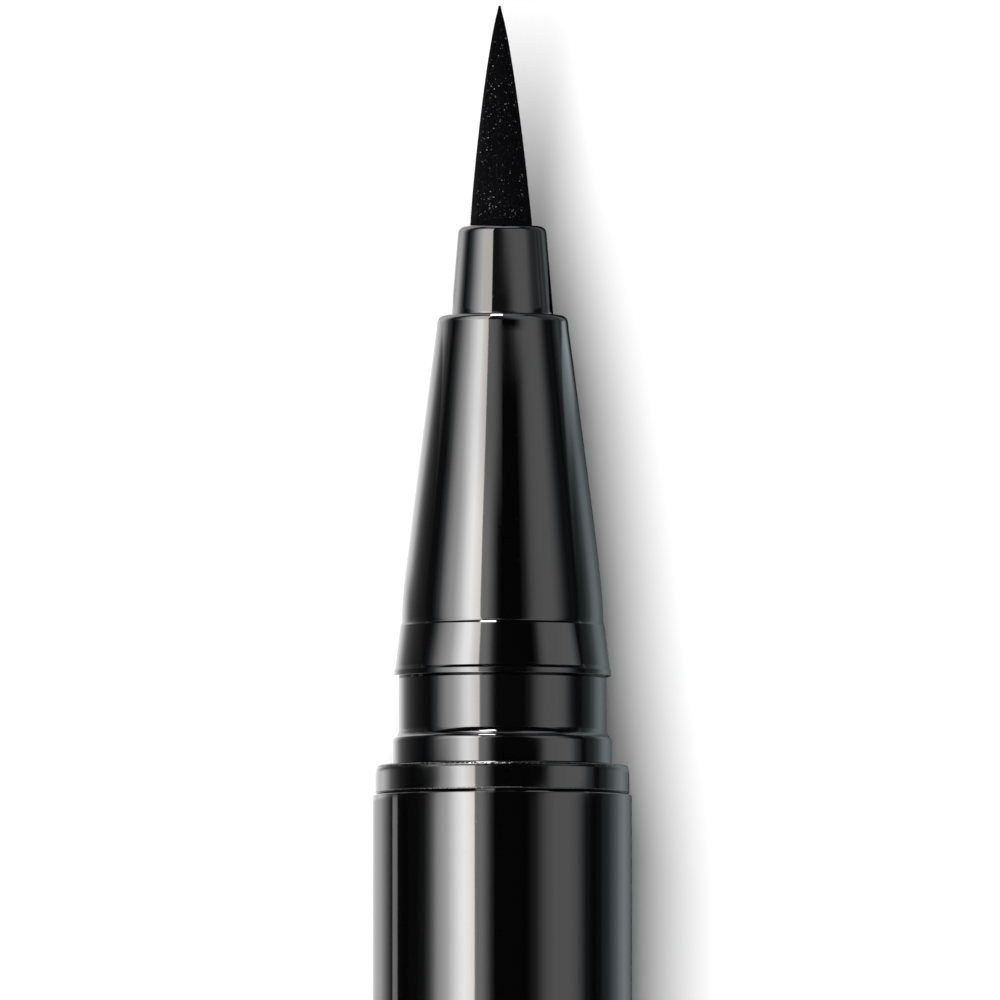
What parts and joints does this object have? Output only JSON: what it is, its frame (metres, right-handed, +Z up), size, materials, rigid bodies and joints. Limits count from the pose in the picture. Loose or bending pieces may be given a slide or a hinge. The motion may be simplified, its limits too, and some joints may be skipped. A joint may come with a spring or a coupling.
{
  "type": "liquid eyeliner pen",
  "caption": "Slim round liquid eyeliner pen with a pointed brush, finned ink collector, mixing ball, and a posted cap with a sprung inner seal.",
  "frame": {"origin": "middle of the pen's length on the surface that it lies on, under its axis", "axes": "+Y along the pen's axis towards the brush's point, +Z up, +X to the right of the pen as its picture shows it"},
  "size_m": [0.01, 0.1574, 0.01],
  "materials": {
    "shell_gloss_black": "mirror gloss",
    "section_gloss_black": "moulded gloss",
    "inked_bristle": "wet with ink",
    "feed_fibre": "bound fibre, soaked with ink",
    "inner_white": "natural moulded",
    "cup_soft_white": "soft satin",
    "seal_rubber": "moulded",
    "ball_steel": "polished",
    "spring_steel": "drawn wire"
  },
  "bodies": {
    "pen": {"barrel_sleeve": "shell_gloss_black", "ink_tank": "section_gloss_black", "tank_stopper": "inner_white", "tail_plug": "shell_gloss_black", "section_body": "section_gloss_black", "section_seal": "seal_rubber", "front_cone": "section_gloss_black", "tip_holder": "section_gloss_black", "brush_tip": "inked_bristle", "feed_rod": "feed_fibre", "feed_collector": "inner_white", "collector_plug": "inner_white"},
    "ball": {"mixing_ball": "ball_steel"},
    "cap": {"cap_shell": "shell_gloss_black", "cap_end_plug": "shell_gloss_black", "seal_retainer": "inner_white", "cap_spring": "spring_steel"},
    "inner_seal": {"seal_cup": "cup_soft_white"}
  },
  "joints": [
    {"name": "cap_pull", "type": "slide", "parent": "pen", "child": "cap", "axis": [0, -1, 0], "range_m": [0, 0.02]},
    {"name": "seal_press", "type": "slide", "parent": "cap", "child": "inner_seal", "axis": [0, -1, 0], "range_m": [0, 0.0015], "stiffness_N_per_m": 700, "deforming": ["cap_spring"]},
    {"name": "ball_shake", "type": "slide", "parent": "pen", "child": "ball", "axis": [0, 1, 0], "range_m": [0, 0.04]}
  ]
}
